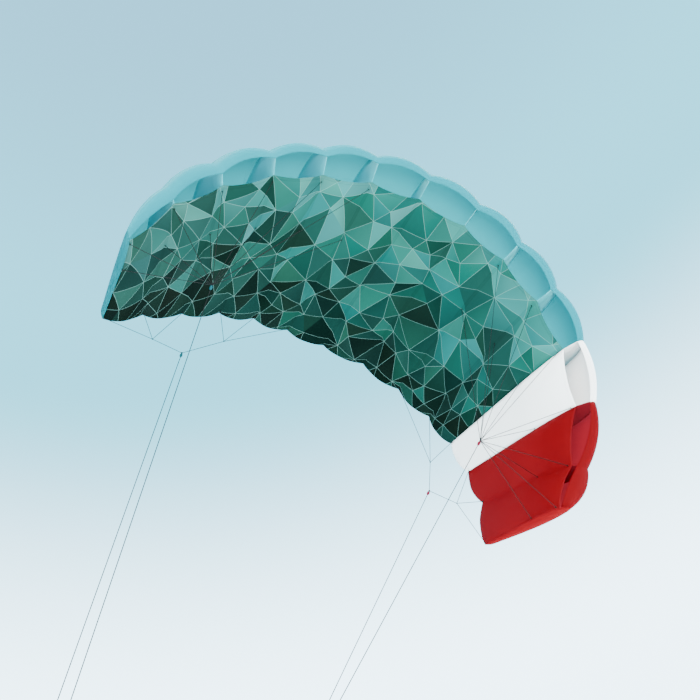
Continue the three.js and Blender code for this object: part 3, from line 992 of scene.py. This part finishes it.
# Print of scattered triangles
def planform(span, along):
    """A flat map of the lower skin in metres, on which the print is laid out."""
    ribs = np.arange(LAST_RIB + 1)
    chord = np.interp(span, ribs, CHORD)
    back = np.interp(span, ribs, SETBACK) + np.asarray(along) * chord
    return np.stack([np.asarray(span) * CELL_WIDTH, back], -1)


def print_points(rng, first, last):
    """Seeded points scattered over the printed cells, some in close pairs."""
    kept = []
    flat = np.empty((0, 2))
    for _ in range(PRINT_TRIES):
        span = rng.uniform(first - PRINT_SPAN_MARGIN, last + PRINT_SPAN_MARGIN)
        along = rng.uniform(*PRINT_ALONG)
        spot = planform(span, along)
        need = PRINT_SPACING * rng.choice(PRINT_SPACINGS)
        if not len(flat) or np.hypot(*(flat - spot).T).min() > need:
            kept.append((span, along))
            flat = np.vstack([flat, spot])
    return np.array(kept), flat


def print_tone(rng, span, along):
    """A print tone: darker toward the trailing edge, greyer and darker toward the left tip."""
    level = PRINT_LEVEL + rng.random() * PRINT_LEVEL_SPREADS[0] + rng.random() * PRINT_LEVEL_SPREADS[1]
    level += PRINT_REAR_FALL * (PRINT_REAR_MIDDLE - along)
    level -= PRINT_TIP_FALL * max(0.0, 1 - span / PRINT_TIP_CELLS)
    level = min(max(level, 0), PRINT_TOP_LEVEL)
    low = int(level)
    tone, lighter = (np.array(PRINT_TONES[k]) for k in (low, low + 1))
    tone = tone + (lighter - tone) * (level - low)
    tone = tone * (rng.uniform(*PRINT_RED_SPREAD), 1, rng.uniform(*PRINT_BLUE_SPREAD))
    grey = PRINT_GREY_SHARE * max(0.0, 1 - span / PRINT_GREY_CELLS)
    return tone + (tone.mean() * np.array(PRINT_GREY_TINT) - tone) * grey


def flat_print(rng, first, last):
    """The print's triangles in span and chord shares, cut into the skin's columns and rows."""
    kept, flat = print_points(rng, first, last)
    triangles = delaunay_2d_cdt([Vector(spot) for spot in flat], [], [], 0, PRINT_MERGE)[2]
    work = bmesh.new()
    number = work.faces.layers.int.new("triangle")
    corners = [work.verts.new((span, along, 0)) for span, along in kept]
    for k, triangle in enumerate(triangles):
        work.faces.new([corners[i] for i in triangle])[number] = k
    low, high = trimmed(first, last)
    cuts = [((low, 0), (-1, 0), True), ((high, 0), (1, 0), True)]
    cuts += [((0, LOWER_ROWS[0, 0]), (0, -1), True), ((0, 1), (0, 1), True)]
    columns = range(first * PRINT_COLUMNS + 1, last * PRINT_COLUMNS)
    cuts += [((k / PRINT_COLUMNS, 0), (1, 0), False) for k in columns]
    fine = np.linspace(0, len(LOWER_ROWS) - 1, PRINT_ROWS + 1)[1:-1]
    cuts += [((0, along), (0, 1), False) for along in section_columns(LOWER_ROWS, fine)[:, 0]]
    for spot, normal, clear in cuts:
        parts = work.verts[:] + work.edges[:] + work.faces[:]
        bmesh.ops.bisect_plane(work, geom=parts, dist=PRINT_CUT_MERGE, plane_co=(*spot, 0),
                               plane_no=(*normal, 0), clear_outer=clear)
    bmesh.ops.recalc_face_normals(work, faces=work.faces)
    over = [face for face in work.faces if face.normal.z > 0]
    bmesh.ops.reverse_faces(work, faces=over)
    return work, kept, flat, np.array(triangles)


def paint_print(mesh, spots, kept, flat, triangles, rng):
    """Each corner's print colour, and its distances to the drawn edges of its triangle."""
    middle = kept[triangles].mean(1)
    tones = np.array([print_tone(rng, *spot) for spot in middle])
    slopes = np.array([[1 + rng.uniform(-PRINT_SLOPE, PRINT_SLOPE) for _ in range(3)] for _ in triangles])
    unlined = {}
    hidden = np.zeros(triangles.shape)
    heights = np.zeros(triangles.shape)
    for k, triangle in enumerate(triangles):
        a, b, c = flat[triangle]
        area = abs((b[0] - a[0]) * (c[1] - a[1]) - (c[0] - a[0]) * (b[1] - a[1]))
        for side in range(3):
            p, q = (int(triangle[(side + step) % 3]) for step in (1, 2))
            heights[k, side] = area / np.hypot(*(flat[p] - flat[q]))
            left_out = unlined.setdefault((min(p, q), max(p, q)), rng.random() > PRINT_DRAWN_SHARE)
            hidden[k, side] = PRINT_HIDDEN_BY * left_out
    owner = np.empty(len(mesh.polygons), np.int32)
    mesh.attributes["triangle"].data.foreach_get("value", owner)
    sizes = np.empty(len(mesh.polygons), np.int32)
    mesh.polygons.foreach_get("loop_total", sizes)
    owner = np.repeat(owner, sizes)
    a, b, c = (kept[triangles[owner, k]] for k in range(3))
    where = spots[corner_points(mesh)] - a
    b, c = b - a, c - a
    whole = b[:, 0] * c[:, 1] - c[:, 0] * b[:, 1]
    second = (where[:, 0] * c[:, 1] - c[:, 0] * where[:, 1]) / whole
    third = (b[:, 0] * where[:, 1] - where[:, 0] * b[:, 1]) / whole
    shares = np.stack([1 - second - third, second, third], -1)
    colours = tones[owner] * (shares * slopes[owner]).sum(1, keepdims=True)
    opaque = np.ones((len(owner), 1))
    add_layer(mesh, "print", "FLOAT_COLOR", "CORNER", "color", np.hstack([colours, opaque]))
    add_layer(mesh, "lines", "FLOAT_VECTOR", "CORNER", "vector", shares * heights[owner] + hidden[owner])


def printed_skin(name, first, last):
    """The lower skin cut along the print's triangles, with their colours and lines on its corners."""
    rng = random.Random(PRINT_SEED)
    work, kept, flat, triangles = flat_print(rng, first, last)
    mesh = bpy.data.meshes.new(name)
    work.to_mesh(mesh)
    work.free()
    spots = flat_points(mesh)[:, :2]
    paint_print(mesh, spots, kept, flat, triangles, rng)
    return skin_piece(name, mesh, False, spots[:, 0], row_of(LOWER_ROWS, spots[:, 1]))


def declare_skin(piece, slot, material, level, first, last):
    """Gives a skin its material and body and hides the panels that it stands for; its flat size and its ribs
    are worked out but not kept.
    """
    place(piece, slot, material, *numbered(f"{level}_panel", first, last - 1))
    area = sum(face.area for face in piece.data.polygons)
    width = (last - first) * FLAT_CELL
    flat = (width, area / width * FIELD_TAPER)
    numbered("rib", first, last)


for field_name, field_look in CLOTH_LOOKS.items():
    first_rib = FIELD.index(field_name)
    last_rib = first_rib + FIELD.count(field_name)
    upper_cloth = plain_skin(f"upper_cloth_{field_name}", True, first_rib, last_rib)
    declare_skin(upper_cloth, f"cloth_{field_name}", field_look, "upper", first_rib, last_rib)
    if field_name == "teal":
        lower_cloth = printed_skin("lower_cloth_printed", first_rib, last_rib)
        declare_skin(lower_cloth, "cloth_print", PRINT_LOOK, "lower", first_rib, last_rib)
    else:
        lower_cloth = plain_skin(f"lower_cloth_{field_name}", False, first_rib, last_rib)
        declare_skin(lower_cloth, f"cloth_{field_name}", field_look, "lower", first_rib, last_rib)


# Ribs
def rib_swell(index, back):
    """How far a rib stands out sideways at half its height, at shares of its length."""
    ends = np.minimum(1, RIB_BOW_RISE * np.minimum(back + RIB_BOW_AT_ENDS, 1 + RIB_BOW_AT_ENDS - back))
    bow = {0: -TIP_BOW, LAST_RIB: TIP_BOW}.get(index, RIB_BOW * math.sin(index * RIB_BOW_PHASE))
    return bow * ends + RIB_RIPPLE * np.sin(back * RIB_RIPPLE_WAVES + index)


def add_rib(index):
    """A cloth rib between the skins, slightly slack, or swelling outward at a tip."""
    name = f"rib_cloth_{index + 1:02d}"
    tip = index in (0, LAST_RIB)
    mesh = unit_grid(name, RIB_COLUMNS, RIB_STEPS, False)
    back, share = flat_points(mesh)[:, :2].T
    tail = TIP_TAIL if tip else RIB_TAIL
    upper_row = back * row_of(UPPER_ROWS, tail, UPPER_NOSE_ROW)
    lower_row = back * row_of(LOWER_ROWS, tail)
    top = np.stack(rib_edge(index, section_columns(UPPER_ROWS, upper_row), True), -1)
    low = np.stack(rib_edge(index, section_columns(LOWER_ROWS, lower_row), False), -1)
    reach = np.linalg.norm(top - low, axis=1, keepdims=True)
    room = (SHEET / 2 + GAP) * (TIP_ROOM if tip else RIB_ROOM)
    drawn_in = (top - low) / reach * np.minimum(room, reach * RIB_ROOM_LIMIT)
    top, low = top - drawn_in, low + drawn_in
    spot = low + (top - low) * share[:, None]
    swell = rib_swell(index, back) * np.sin(np.pi * share)
    points = on_rib(index, spot[:, 0], spot[:, 1]) + ACROSS[index] * swell[:, None]
    from_front = np.linalg.norm(spot - spot[back.argmin()], axis=1)
    to_edge = np.minimum(share, 1 - share) * reach[:, 0]
    far = np.ones(len(spot))
    seams = np.stack([to_edge, far if tip else from_front, far], -1)
    piece = cloth_piece(name, mesh, points, seams, spot)
    colour = FIELD[min(index, LAST_RIB - 1)]
    # Inner ribs take the lighter rib looks, painted light on their shaded faces; the tip ribs take the cloth
    # looks.
    place(piece, f"cloth_{colour}", (CLOTH_LOOKS if tip else RIB_LOOKS)[colour], f"rib_{index + 1:02d}")


for rib_index in range(LAST_RIB + 1):
    add_rib(rib_index)


# Floor, light and surroundings
def add_floor():
    work = bmesh.new()
    bmesh.ops.create_grid(work, x_segments=1, y_segments=1, size=FLOOR_SIZE)
    bmesh.ops.translate(work, verts=work.verts, vec=(0, 0, FLOOR_HEIGHT))
    mesh = bpy.data.meshes.new("floor")
    work.to_mesh(mesh)
    work.free()
    floor = new_object("floor", mesh)
    look = Look("pale_floor", Base_Color=FLOOR_COLOUR, Roughness=FLOOR_ROUGHNESS)
    floor.data.materials.append(look.data)


def add_light(name, spot, size, power, colour):
    data = bpy.data.lights.new(name, "AREA")
    data.shape = "SQUARE"
    data.size = size
    data.energy = power
    data.color = colour
    light = new_object(name, data)
    light.location = spot
    light.rotation_euler = (Vector(KITE_MIDDLE) - Vector(spot)).to_track_quat("-Z", "Y").to_euler()


def add_world():
    """A soft pale surround, paler away from its top, which leans to the left."""
    world = bpy.data.worlds.new("pale_surround")
    world.use_nodes = True
    surround = Shading(world.node_tree, "Background")
    x, y, z = surround.parts(surround.coordinates("Generated"))
    height = x * SKY_AXIS[0] + y * SKY_AXIS[1] + z * SKY_AXIS[2]
    upper_sky = height.fade(*UPPER_SKY_FADE).blend(SKY_HIGH, SKY_MIDDLE)
    surround.feed(Color=height.fade(*LOWER_SKY_FADE).blend(upper_sky, SKY_LOW))
    bpy.context.scene.world = world


add_floor()
add_world()
for light_row in LIGHTS:
    add_light(*light_row)
